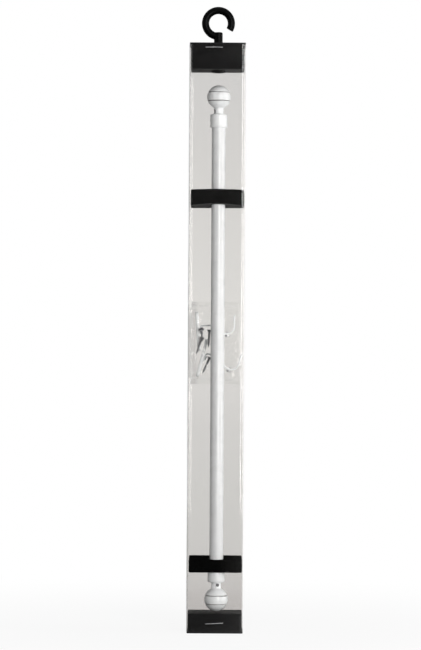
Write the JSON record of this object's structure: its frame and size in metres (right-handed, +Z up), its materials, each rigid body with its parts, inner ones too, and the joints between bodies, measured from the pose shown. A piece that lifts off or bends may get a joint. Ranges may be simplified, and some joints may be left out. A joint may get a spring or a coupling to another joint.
{
  "type": "curtain rod with brackets",
  "caption": "Telescoping white curtain rod with ball finials in its clear hanging pack, held by foam, with a bag of wall brackets, screws and anchors.",
  "frame": {"origin": "middle of the pack's base, where it stands", "axes": "+Z up along the rod towards the hanging hook, +Y from the pack's front to its back, +X to the right seen from the front"},
  "size_m": [0.078, 0.0612, 0.8623],
  "materials": {
    "clear_film": "gloss",
    "bag_film": "gloss",
    "black_plastic": "satin",
    "black_foam": "matte",
    "white_enamel": "gloss",
    "white_plastic": "satin",
    "steel_wire": "satin",
    "dark_steel": "satin"
  },
  "bodies": {
    "pack": {"clear_sleeve": "clear_film", "bottom_plug": "black_plastic", "bottom_staple": "steel_wire"},
    "rod_outer": {"outer_tube": "white_enamel", "lower_end_collar": "white_enamel", "lower_ball_finial": "white_enamel", "upper_foam_block": "black_foam", "lower_foam_block": "black_foam", "hardware_bag": "bag_film", "bracket_1_wall_plate": "white_enamel", "bracket_1_arm": "white_enamel", "bracket_1_rivet": "steel_wire", "bracket_2_wall_plate": "white_enamel", "bracket_2_arm": "white_enamel", "bracket_2_rivet": "steel_wire", "wall_screw_1": "dark_steel", "wall_screw_2": "dark_steel", "wall_screw_3": "dark_steel", "wall_screw_4": "dark_steel", "wall_anchor_1": "white_plastic", "wall_anchor_2": "white_plastic", "wall_anchor_3": "white_plastic", "wall_anchor_4": "white_plastic"},
    "lower_screw": {"lower_set_screw": "dark_steel"},
    "bracket_1_lock": {"bracket_1_lock_screw": "steel_wire"},
    "bracket_2_lock": {"bracket_2_lock_screw": "steel_wire"},
    "rod_inner": {"inner_tube": "white_enamel", "inner_tube_guide": "white_plastic", "upper_end_collar": "white_enamel", "upper_ball_finial": "white_enamel"},
    "upper_screw": {"upper_set_screw": "dark_steel"},
    "plug": {"top_plug": "black_plastic", "top_staple": "steel_wire"},
    "hook": {"hanging_hook": "black_plastic", "hook_retainer": "black_plastic"}
  },
  "joints": [
    {"name": "unpack", "type": "slide", "parent": "pack", "child": "rod_outer", "axis": [0, 0, 1], "range_m": [0, 0.78]},
    {"name": "extend", "type": "slide", "parent": "rod_outer", "child": "rod_inner", "axis": [0, 0, 1], "range_m": [0, 0.5]},
    {"name": "plug_lift", "type": "slide", "parent": "rod_inner", "child": "plug", "axis": [0, 0, 1], "range_m": [0, 0.1]},
    {"name": "hook_swivel", "type": "hinge", "parent": "plug", "child": "hook", "pos_m": [0.0006, 0, 0.81], "axis": [0, 0, 1], "continuous": true},
    {"name": "upper_set_screw_turn", "type": "hinge", "parent": "rod_inner", "child": "upper_screw", "pos_m": [0.0018, -0.012, 0.7167], "axis": [0.9659, 0.2588, 0], "continuous": true},
    {"name": "lower_set_screw_turn", "type": "hinge", "parent": "rod_outer", "child": "lower_screw", "pos_m": [0.0018, -0.012, 0.0653], "axis": [0.2924, -0.9563, 0], "continuous": true},
    {"name": "bracket_1_lock_turn", "type": "hinge", "parent": "rod_outer", "child": "bracket_1_lock", "pos_m": [0.0209, 0.0185, 0.3721], "axis": [0.2453, 0, 0.9694], "continuous": true},
    {"name": "bracket_2_lock_turn", "type": "hinge", "parent": "rod_outer", "child": "bracket_2_lock", "pos_m": [0.0145, 0.0185, 0.4217], "axis": [-0.0698, 0, 0.9976], "continuous": true}
  ]
}
